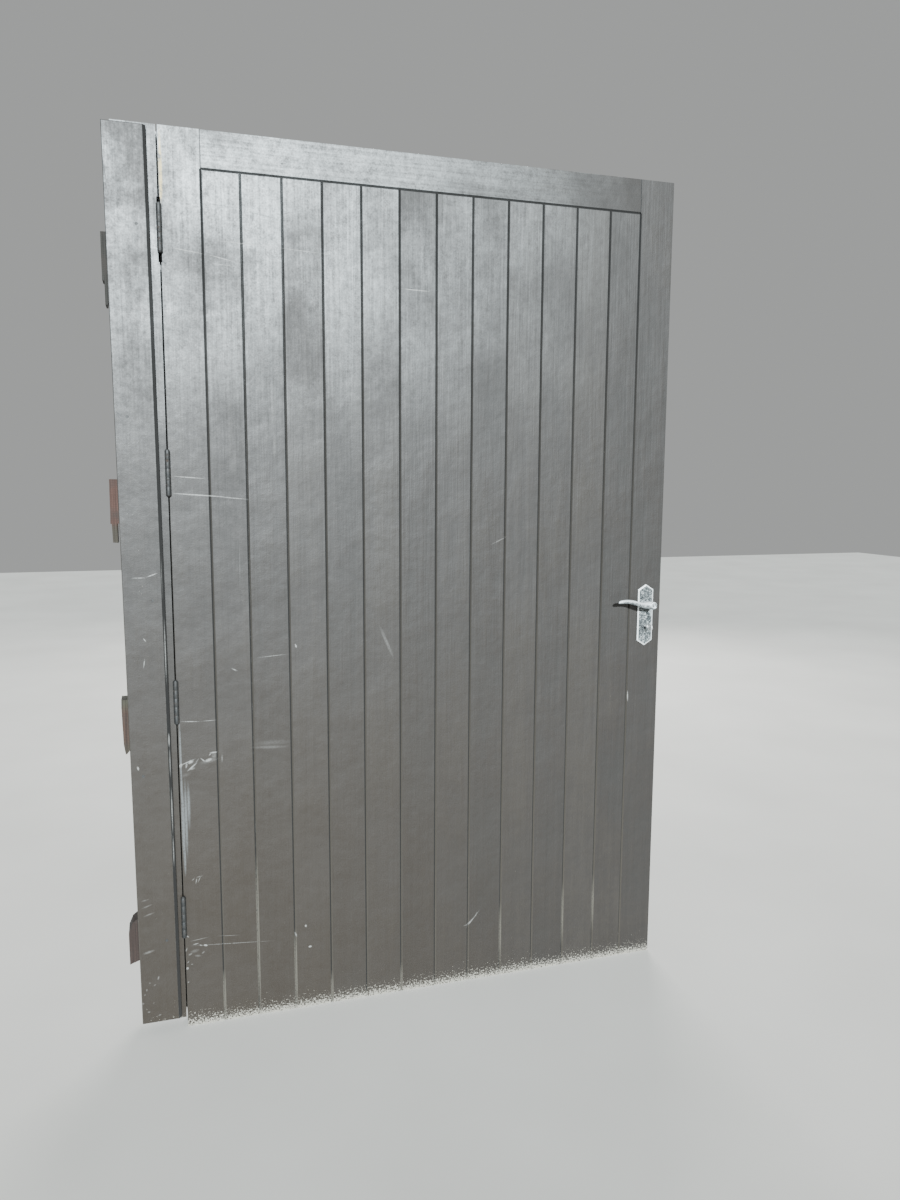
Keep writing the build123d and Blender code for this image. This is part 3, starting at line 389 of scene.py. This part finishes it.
def weathered_softwood():
    """Sawn softwood offcuts that stood in the rain: brown to reddish, furred by the saw, darker where
    damp. It gives long open grain, saw lines across it and no gloss."""
    material, tree, shader = start("weathered_sawn_softwood")
    coords = put(tree, "TexCoord").outputs["Object"]
    place = put(tree, "SeparateXYZ", None, {0: coords}).outputs
    # Open grain, 3 mm wide and 140 mm long
    size = (per_metre(3.3), per_metre(3.3), per_metre(143))
    fibres = put(tree, "Mapping", None, {"Vector": coords, "Scale": size})
    grain = put(tree, "TexNoise", None, {
        "Vector": fibres.outputs[0], "Scale": 1, "Detail": 6, "Roughness": 0.7, "Distortion": 0.6})
    # Saw lines 4 mm apart: a wave's lines are closer together than its size, by 3.2 times
    saw = put(tree, "TexWave", {"bands_direction": "Z"}, {
        "Vector": coords, "Scale": per_metre(12.5), "Distortion": 2.5, "Detail": 2})
    # Damp patches, 45 mm across
    damp = put(tree, "TexNoise", None, {
        "Vector": coords, "Scale": per_metre(45), "Detail": 5, "Roughness": 0.6})
    height = put(tree, "MapRange", None, {
        "Value": place["Z"], "From Min": 0.0, "From Max": LEAF_HEIGHT})
    wood = put(tree, "ValToRGB", None, {0: height.outputs[0]}, OFFCUT_COLOURS)
    shade = put(tree, "ValToRGB", None, {0: grain.outputs["Fac"]}, [
        (0.34, "#7a685c"), (0.5, "#e0d6cc"), (0.62, "#ffffff")])
    grained = put(tree, "Mix", TINTS, {0: 1.0, UNDER: wood.outputs[0], OVER: shade.outputs[0]})
    pale = put(tree, "ValToRGB", None, {0: grain.outputs["Fac"]}, [(0.57, 0.0), (0.72, 0.3)])
    lit = put(tree, "Mix", TINTS, {0: 1.0, UNDER: wood.outputs[0], OVER: (3.2, 2.8, 2.6, 1)})
    streaked = put(tree, "Mix", COLOURS, {
        0: pale.outputs[0], UNDER: grained.outputs[MIXED], OVER: lit.outputs[MIXED]})
    wet = put(tree, "ValToRGB", None, {0: damp.outputs["Fac"]}, [(0.45, 0.0), (0.65, 0.6)])
    stained = put(tree, "Mix", COLOURS, {
        0: wet.outputs[0], UNDER: streaked.outputs[MIXED], OVER: linear("#2a2420")})
    tree.links.new(stained.outputs[MIXED], shader.inputs["Base Color"])
    shader.inputs["Roughness"].default_value = 0.85
    ridge = put(tree, "Bump", None, {
        "Strength": 1, "Distance": 0.8 * MM, "Height": grain.outputs["Fac"]})
    cut = put(tree, "Bump", None, {
        "Strength": 0.6, "Distance": 0.4 * MM, "Height": saw.outputs["Fac"],
        "Normal": ridge.outputs[0]})
    tree.links.new(cut.outputs[0], shader.inputs["Normal"])
    return material


def painted_hinge_steel():
    """Pressed mild steel under the same old paint. It gives worn grey, with brown rust where the
    knuckles turn and the paint has cracked."""
    material, tree, shader = start("painted_rusting_mild_steel")
    coords = put(tree, "TexCoord").outputs["Object"]
    # Rust blooms 8 mm across, with pits of 1 mm
    bloom = put(tree, "TexNoise", None, {
        "Vector": coords, "Scale": per_metre(8.3), "Detail": 6, "Roughness": 0.7})
    pits = put(tree, "TexNoise", None, {"Vector": coords, "Scale": per_metre(1.11), "Detail": 3})
    skin = put(tree, "ValToRGB", None, {0: bloom.outputs["Fac"]}, [
        (0.36, "#191a1b"), (0.54, "#212120"), (0.62, "#29231f"), (0.72, "#3a2a21")])
    tree.links.new(skin.outputs[0], shader.inputs["Base Color"])
    gloss = put(tree, "MapRange", None, {
        "Value": bloom.outputs["Fac"], "From Min": 0.5, "From Max": 0.64,
        "To Min": 0.55, "To Max": 0.9})
    tree.links.new(gloss.outputs[0], shader.inputs["Roughness"])
    crust = put(tree, "Bump", None, {
        "Strength": 0.8, "Distance": 0.35 * MM, "Height": bloom.outputs["Fac"]})
    pitted = put(tree, "Bump", None, {
        "Strength": 0.5, "Distance": 0.12 * MM, "Height": pits.outputs["Fac"],
        "Normal": crust.outputs[0]})
    tree.links.new(pitted.outputs[0], shader.inputs["Normal"])
    return material


def galvanised_casting(name, tones, metallic, painted_shadow=()):
    """Malleable iron, cast, tumbled and hot dip galvanised. The plate has dulled to a mottled grey that
    is white along its edges, partly rubbed zinc and partly a painted highlight; the lever is kept bright
    by hands. Top sides carry a painted highlight and undersides painted shade, and the plate a painted
    shadow round the keyhole and by the lever."""
    material, tree, shader = start(name)
    space = put(tree, "TexCoord").outputs
    coords = space["Object"]
    # Zinc spangle 4 mm across, its edges bent by 11 mm waves
    warp = put(tree, "TexNoise", None, {"Vector": coords, "Scale": per_metre(11.1), "Detail": 3})
    moved = put(tree, "Mix", COLOURS, {0: 0.02, UNDER: coords, OVER: warp.outputs["Color"]})
    spangle = put(tree, "TexVoronoi", {"feature": "F1"}, {
        "Vector": moved.outputs[MIXED], "Scale": per_metre(4)})
    # The cast skin has a grain of 1 mm; drawn at 3.7 mm, so that it shows
    cast = put(tree, "TexNoise", None, {
        "Vector": coords, "Scale": per_metre(3.7), "Detail": 5, "Roughness": 0.7})
    grey = put(tree, "Math", MULTIPLY, {0: spangle.outputs["Color"], 1: 0.35})
    mixed = put(tree, "Math", MULTIPLY_ADD, {0: cast.outputs["Fac"], 1: 0.75, 2: grey.outputs[0]})
    zinc = put(tree, "ValToRGB", None, {0: mixed.outputs[0]}, list(zip((0.42, 0.54, 0.68), tones)))
    # Painted light: the top sides are painted bright as a highlight and the undersides painted dark as
    # shade
    way = put(tree, "SeparateXYZ", None, {0: space["Normal"]}).outputs
    painted_underside_shade = put(tree, "MapRange", None, {
        "Value": way["Z"], "From Min": 0.0, "From Max": -0.7, "To Min": 0.0, "To Max": 0.75})
    shaded_underside = put(tree, "Mix", COLOURS, {
        0: painted_underside_shade.outputs[0], UNDER: zinc.outputs[0], OVER: linear("#3b4042")})
    painted_top_highlight = put(tree, "MapRange", None, {
        "Value": way["Z"], "From Min": 0.1, "From Max": 0.6, "To Min": 0.0, "To Max": 0.9})
    lightened = put(tree, "Mix", COLOURS, {
        0: painted_top_highlight.outputs[0], UNDER: shaded_underside.outputs[MIXED], OVER: linear("#f2f5f5")})
    # The sloping rim of a plate and its arrises are painted bright: partly rubbed zinc, partly a painted
    # highlight
    arris = put(tree, "Attribute", {"attribute_name": "arris"})
    rim = put(tree, "Attribute", {"attribute_name": "rim"})
    edge = put(tree, "Math", LARGER, {0: arris.outputs["Fac"], 1: rim.outputs["Fac"]})
    edge = put(tree, "Math", MULTIPLY, {0: edge.outputs[0], 1: 0.85})
    bright = put(tree, "Mix", COLOURS, {
        0: edge.outputs[0], UNDER: lightened.outputs[MIXED], OVER: linear("#f2f5f5")})
    colour = bright.outputs[MIXED]
    # Painted shadow of the key and the lever, laid dark on the plate
    if painted_shadow:
        mask = put(tree, "Math", SMALLER, {0: marks(tree, coords, painted_shadow, PLATE_FACE), 1: 0.85})
        colour = put(tree, "Mix", COLOURS, {
            0: mask.outputs[0], UNDER: colour, OVER: linear("#26292b")}).outputs[MIXED]
    tree.links.new(colour, shader.inputs["Base Color"])
    shader.inputs["Metallic"].default_value = metallic
    matt = put(tree, "MapRange", None, {
        "Value": mixed.outputs[0], "From Min": 0.38, "From Max": 0.66, "To Min": 0.48, "To Max": 0.28})
    tree.links.new(matt.outputs[0], shader.inputs["Roughness"])
    skin = put(tree, "Bump", None, {"Strength": 1, "Distance": 0.7 * MM, "Height": cast.outputs["Fac"]})
    tree.links.new(skin.outputs[0], shader.inputs["Normal"])
    return material


def bright_metal(name, dark, light, rough, metallic=1.0):
    """Rolled and milled lock metal that hands and rain have dulled: fine wipe lines and darker spots."""
    material, tree, shader = start(name)
    coords = put(tree, "TexCoord").outputs["Object"]
    # Milling lines 0.3 mm apart; drawn at 1.2 mm, so that they show
    size = (per_metre(8.3), per_metre(8.3), per_metre(1.2))
    lined = put(tree, "Mapping", None, {"Vector": coords, "Scale": size})
    lines = put(tree, "TexNoise", None, {"Vector": lined.outputs[0], "Scale": 1, "Detail": 3})
    # Spots of tarnish, 7 mm across
    tarnish = put(tree, "TexNoise", None, {
        "Vector": coords, "Scale": per_metre(6.7), "Detail": 5, "Roughness": 0.65})
    both = put(tree, "Math", MULTIPLY, {0: lines.outputs["Fac"], 1: 0.3})
    level = put(tree, "Math", MULTIPLY_ADD, {0: tarnish.outputs["Fac"], 1: 0.7, 2: both.outputs[0]})
    tint = put(tree, "ValToRGB", None, {0: level.outputs[0]}, [(0.38, dark), (0.58, light)])
    tree.links.new(tint.outputs[0], shader.inputs["Base Color"])
    shader.inputs["Metallic"].default_value = metallic
    gloss = put(tree, "MapRange", None, {
        "Value": level.outputs[0], "From Min": 0.38, "From Max": 0.6,
        "To Min": rough + 0.15, "To Max": rough})
    tree.links.new(gloss.outputs[0], shader.inputs["Roughness"])
    mill = put(tree, "Bump", None, {
        "Strength": 0.4, "Distance": 0.08 * MM, "Height": lines.outputs["Fac"]})
    tree.links.new(mill.outputs[0], shader.inputs["Normal"])
    return material


# Timber that stands takes its grain and strokes along Z, timber that lies or leans takes them along X
STANDING = {"turn": (0, 0, 0), "across": (1, 0, 0)}
LYING = {"turn": (0, math.pi / 2, 0), "across": (0, 0, 1)}
LEAF_MARKS = {
    "dust": JOINT_DUST, "filled": LEAF_FILLED, "bare": LEAF_BARE, "scratch_and_sun_fleck": LEAF_SCRATCHES,
    "dark": LEAF_DARK,
}
POST_MARKS = {"scratch_and_sun_fleck": POST_SCRATCHES_AND_SUN_FLECKS, "dark": POST_DARK}
RAIL_MARKS = {"dark": LEAF_DARK}

paint_upright = painted_softwood(
    "satin_paint_on_softwood_upright", **STANDING, tables=LEAF_MARKS, face=LEAF_FACE)
paint_post = painted_softwood(
    "satin_paint_on_softwood_post", **STANDING, tables=POST_MARKS, face=POST_FACE)
paint_level = painted_softwood(
    "satin_paint_on_softwood_level", **LYING, tables=RAIL_MARKS, face=LEAF_FACE)
sawn_wood = weathered_softwood()
hinge_steel = painted_hinge_steel()
zinc_dull = galvanised_casting(
    "galvanised_iron_dull", ("#202425", "#4c5254", "#a5abab"), 0.3, PLATE_SHADOW)
zinc_bright = galvanised_casting(
    "galvanised_iron_rubbed", ("#4a4f50", "#868c8d", "#cdd1d1"), 0.4)
mild_steel = bright_metal("milled_mild_steel", "#8b8c8c", "#d6d8d8", 0.30)
key_steel = bright_metal("nickel_plated_steel", "#dfe2e1", "#fbfbfb", 0.26, 0.6)
yellow_brass = bright_metal("rolled_yellow_brass", "#7d6436", "#c4a25c", 0.30)

BODIES = frame["record"]["behaviour"]["bodies"]
BODY_OF = {node: body for body, nodes in BODIES.items() for node in nodes}

# Faces under this area and edges under this angle are shaded smooth
SMALL_FACE = 40 * MM * MM
SOFT_ANGLE = math.radians(30)
# Points this close are one point, and faces this near to one plane are one face
SAME_POINT = 0.002 * MM
SAME_PLANE = math.radians(0.5)
# An arris is rounded in this many steps, where its faces meet at more than this many degrees
ARRIS_STEPS = 2
ARRIS_ANGLE = 30


def finish_piece(work, name, node, material):
    """Turns a bmesh into a piece that stands for a node and rides where the node does. Small faces,
    arrises and slight bends are shaded smooth, broad faces flat."""
    arris = work.faces.layers.float.get("arris")
    for face in work.faces:
        face.smooth = face.calc_area() < SMALL_FACE or bool(arris and face[arris])
    for edge in work.edges:
        edge.smooth = edge.calc_face_angle(0) < SOFT_ANGLE
    mesh = bpy.data.meshes.new(name)
    work.to_mesh(mesh)
    work.free()
    mesh.materials.append(material)
    piece = bpy.data.objects.new(name, mesh)
    bpy.context.scene.collection.objects.link(piece)
    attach(piece, BODY_OF[node])
    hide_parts(node)


def merged(node):
    """A bmesh copy of a node's mesh, with its loose triangles joined to whole faces."""
    work = bmesh.new()
    work.from_mesh(frame["nodes"][node].data)
    bmesh.ops.remove_doubles(work, verts=work.verts, dist=SAME_POINT)
    bmesh.ops.dissolve_limit(work, angle_limit=SAME_PLANE, verts=work.verts, edges=work.edges)
    return work


def ease(work, width, least=ARRIS_ANGLE):
    """Rounds the edges that are sharper than the least angle and marks the new faces as arrises."""
    layer = work.faces.layers.float.new("arris")
    limit = math.radians(least)
    sharp = [e for e in work.edges if len(e.link_faces) == 2 and e.calc_face_angle(0) > limit]
    made = bmesh.ops.bevel(
        work, geom=sharp, offset=width, offset_type="OFFSET", affect="EDGES", segments=ARRIS_STEPS,
        profile=0.5, material=-1, clamp_overlap=True)
    for face in made["faces"]:
        face[layer] = 1.0


def eased(node, width, material, tone=0.0, least=ARRIS_ANGLE):
    """A node with its arrises eased, as a piece of its own."""
    work = merged(node)
    ease(work, width, least)
    tones = work.faces.layers.float.new("board_tone")
    for face in work.faces:
        face[tones] = tone
    finish_piece(work, node + "_eased", node, material)


# A sawn face is divided this finely along X, Y and Z, in millimetres, so that it can be furred
FUR_PITCHES = (2.5, 5.0, 6.0)
# How deep the fibres and the splinters go, in millimetres, and how often they come in a millimetre
# along X, Y and Z
FIBRE_DEPTH, FIBRE_RATE = 0.7, (0.45, 0.3, 0.03)
SPLINTER_DEPTH, SPLINTER_RATE = 0.4, (0.9, 0.5, 0.11)


def wander(place, rate):
    """A number from 0 to 1 that changes slowly along the grain, for a place in millimetres."""
    return noise.noise(Vector(a * b for a, b in zip(place, rate))) * 0.5 + 0.5


def sawn(node):
    """A rough-sawn offcut: its faces are cut into small ones and sunk by up to 1 mm along the grain."""
    work = merged(node)
    low = Vector([min(v.co[i] for v in work.verts) for i in range(3)])
    high = Vector([max(v.co[i] for v in work.verts) for i in range(3)])
    for axis, pitch in enumerate(FUR_PITCHES):
        count = int((high[axis] - low[axis]) / (pitch * MM))
        normal = Vector([float(i == axis) for i in range(3)])
        for step in range(1, count):
            centre = low + normal * step * (high[axis] - low[axis]) / count
            everything = work.verts[:] + work.edges[:] + work.faces[:]
            bmesh.ops.bisect_plane(work, geom=everything, plane_co=centre, plane_no=normal)
    bmesh.ops.recalc_face_normals(work, faces=work.faces)
    work.normal_update()
    sunk = []
    for vert in work.verts:
        place = vert.co / MM
        fibre = FIBRE_DEPTH * wander(place, FIBRE_RATE)
        splinter = SPLINTER_DEPTH * wander(place, SPLINTER_RATE)
        sunk.append(vert.co - vert.normal * (fibre + splinter) * MM)
    for vert, place in zip(work.verts, sunk):
        vert.co = place
    finish_piece(work, node + "_sawn", node, sawn_wood)


# A screw's head is a flat face with more corners and a larger area than these
HEAD_CORNERS = 10
HEAD_AREA = 10 * MM * MM
# Width of a slot, and how far each slot is turned from the last one, in degrees
SLOT_WIDTH = 0.9 * MM
SLOT_TURN = 67


def slotted(node, material, depth, turn):
    """Screws with a slot cut in each head: broad round flat faces are split by the slot's two sides
    and the strip between them is pushed in."""
    work = merged(node)
    heads = [f for f in work.faces if len(f.verts) > HEAD_CORNERS and f.calc_area() > HEAD_AREA]
    for number, head in enumerate(heads):
        centre = head.calc_center_median()
        normal = head.normal.copy()
        side = normal.orthogonal().normalized()
        side.rotate(Matrix.Rotation(math.radians(turn + SLOT_TURN * number), 3, normal))
        parts = [head]
        for sign in (-1, 1):
            verts = list(dict.fromkeys(v for f in parts for v in f.verts))
            edges = list(dict.fromkeys(e for f in parts for e in f.edges))
            edge_of_slot = centre + side * sign * SLOT_WIDTH / 2
            cut = bmesh.ops.bisect_plane(
                work, geom=parts + verts + edges, plane_co=edge_of_slot, plane_no=side)
            parts = list(dict.fromkeys(g for g in cut["geom"] if isinstance(g, bmesh.types.BMFace)))
        inside = 0.4 * SLOT_WIDTH
        strip = [f for f in parts if abs((f.calc_center_median() - centre).dot(side)) < inside]
        grown = bmesh.ops.extrude_face_region(work, geom=strip)
        moved = [g for g in grown["geom"] if isinstance(g, bmesh.types.BMVert)]
        bmesh.ops.translate(work, verts=moved, vec=-normal * depth)
        bmesh.ops.delete(work, geom=strip, context="FACES_ONLY")
    finish_piece(work, node + "_slotted", node, material)


# The rim of a plate slopes more than its side, which is 0, and less than its face, which is 1. Its
# arrises turn by less than others do
RIM_SLOPES = (0.25, 0.95)
PLATE_ARRIS_ANGLE = 15


def plate(node, face_sign):
    """A handle plate with its arrises eased; its sloping rim is marked, since it is painted bright,
    partly as rubbed zinc and partly as a painted highlight.
    """
    work = merged(node)
    rim = work.faces.layers.float.new("rim")
    for face in work.faces:
        slope = face.normal.y * face_sign
        face[rim] = 1.0 if RIM_SLOPES[0] < slope < RIM_SLOPES[1] else 0.0
    ease(work, 0.4 * MM, PLATE_ARRIS_ANGLE)
    finish_piece(work, node + "_eased", node, zinc_dull)


# Timber of the leaf; each board took the paint a little differently
BOARD_TONES = [0.02, -0.03, 0.04, -0.01, 0.03, -0.035, 0.01, -0.02, 0.035, 0.0, 0.045, -0.015]
# The edges of the V joints turn by 45 degrees and stay crisp
LEAF_ARRIS_ANGLE = 50
for number, tone in enumerate(BOARD_TONES, start=1):
    eased(f"board_{number:02d}", 0.5 * MM, paint_upright, tone, LEAF_ARRIS_ANGLE)
eased("hanging_stile", 0.8 * MM, paint_upright, 0.02, LEAF_ARRIS_ANGLE)
eased("lock_stile", 0.8 * MM, paint_upright, -0.01, LEAF_ARRIS_ANGLE)
for node in ("top_rail", "middle_ledge", "bottom_ledge", "lower_brace", "upper_brace"):
    eased(node, 0.7 * MM, paint_level, least=LEAF_ARRIS_ANGLE)

# Timber of the post
eased("hanging_jamb", 0.8 * MM, paint_post, -0.02)
eased("facing_board", 0.5 * MM, paint_post, 0.01)
for node in ("packer_1", "packer_2", "packer_3", "packer_4"):
    sawn(node)

# Metalwork
for number in range(1, 5):
    for node in (f"post_hinge_{number}", f"leaf_hinge_{number}"):
        eased(node, 0.25 * MM, hinge_steel)
plate("outside_plate", -1)
plate("inside_plate", 1)
for node in ("outside_lever", "inside_lever"):
    eased(node, 0.3 * MM, zinc_bright)
eased("key", 0.5 * MM, key_steel)
eased("lock_forend", 0.3 * MM, yellow_brass)
eased("latch_bolt", 0.3 * MM, yellow_brass)
eased("deadbolt", 0.4 * MM, yellow_brass)
slotted("plate_screws", zinc_dull, 0.7 * MM, 20)
slotted("forend_screws", yellow_brass, 0.7 * MM, 50)
slotted("post_hinge_screws", hinge_steel, 0.8 * MM, 10)
slotted("leaf_hinge_screws", hinge_steel, 0.8 * MM, 35)

# Nodes whose shape is right as it is
NAILS_AND_PINS = ("facing_nails", "hinge_pin_1", "hinge_pin_2", "hinge_pin_3", "hinge_pin_4")
LOCK_INSIDES = ("lever_grub_screw", "lock_case", "lock_cap", "spindle", "follower")
for nodes, material in (
    (("tenon_wedges",), sawn_wood), (NAILS_AND_PINS, hinge_steel), (LOCK_INSIDES, mild_steel),
):
    for node in nodes:
        slots = frame["nodes"][node].data.materials
        slots.clear()
        slots.append(material)


def pale_floor():
    """Smooth pale screed, with the faintest cloudiness, so that the object stands out."""
    material, tree, shader = start("pale_screed")
    coords = put(tree, "TexCoord").outputs["Object"]
    # Clouds 670 mm across
    cloud = put(tree, "TexNoise", None, {"Vector": coords, "Scale": per_metre(670), "Detail": 4})
    tint = put(tree, "ValToRGB", None, {0: cloud.outputs["Fac"]}, [(0.3, "#c9c6c0"), (0.7, "#d2cfc9")])
    tree.links.new(tint.outputs[0], shader.inputs["Base Color"])
    shader.inputs["Roughness"].default_value = 0.8
    return material


# Floor, 24 metres square
FLOOR_HALF_SIDE = 12
ground = bmesh.new()
bmesh.ops.create_grid(ground, x_segments=2, y_segments=2, size=FLOOR_HALF_SIDE)
floor_mesh = bpy.data.meshes.new("floor")
ground.to_mesh(floor_mesh)
ground.free()
floor_mesh.materials.append(pale_floor())
floor = bpy.data.objects.new("floor", floor_mesh)
bpy.context.scene.collection.objects.link(floor)


def lamp(name, kind, power, place, target, **settings):
    """Adds a light that looks from its place to its target."""
    data = bpy.data.lights.new(name, kind)
    data.energy = power
    for key, value in settings.items():
        setattr(data, key, value)
    light = bpy.data.objects.new(name, data)
    aim = Vector(target) - Vector(place)
    turn = aim.to_track_quat("-Z", "Y").to_matrix().to_4x4()
    light.matrix_world = Matrix.Translation(place) @ turn
    bpy.context.scene.collection.objects.link(light)


# Light: a pale room, a low hard key in front and a soft panel behind
KEY_PLACE = (-0.8, -9.51, 3.09)
PANEL_PLACE, PANEL_TARGET = (2.0, 5.0, 3.2), (0, 0, 1.2)
lamp("key", "SUN", 12.0, KEY_PLACE, (0, 0, 0), angle=math.radians(3.5), color=(0.87, 0.96, 1))
lamp("back_panel", "AREA", 300, PANEL_PLACE, PANEL_TARGET, shape="RECTANGLE", size=2.5, size_y=2.5)

world = bpy.data.worlds.new("pale_room")
world.use_nodes = True
walls = world.node_tree.nodes["Background"].inputs
walls["Color"].default_value = linear("#e2e4e3")
walls["Strength"].default_value = 0.5
bpy.context.scene.world = world

# Camera at the photograph's place, worked out from the leaf's edges: where it stands, its own three
# directions, and its lens on a sensor 36 mm high
CAMERA_PLACE = (-0.60225, -2.252, 1.365)
RIGHT = Vector((0.95434, -0.29870, 0.00468))
UP = Vector((0.03498, 0.12731, 0.99125))
FORWARD = Vector((0.29668, 0.94582, -0.13195))
view = bpy.data.cameras.new("camera")
view.sensor_fit = "VERTICAL"
view.sensor_height = 36
view.lens = 27.45
view.clip_start = 0.05
camera = bpy.data.objects.new("camera", view)
camera_turn = Matrix((RIGHT, UP, -FORWARD)).transposed().to_4x4()
camera.matrix_world = Matrix.Translation(CAMERA_PLACE) @ camera_turn
bpy.context.scene.collection.objects.link(camera)
bpy.context.scene.camera = camera
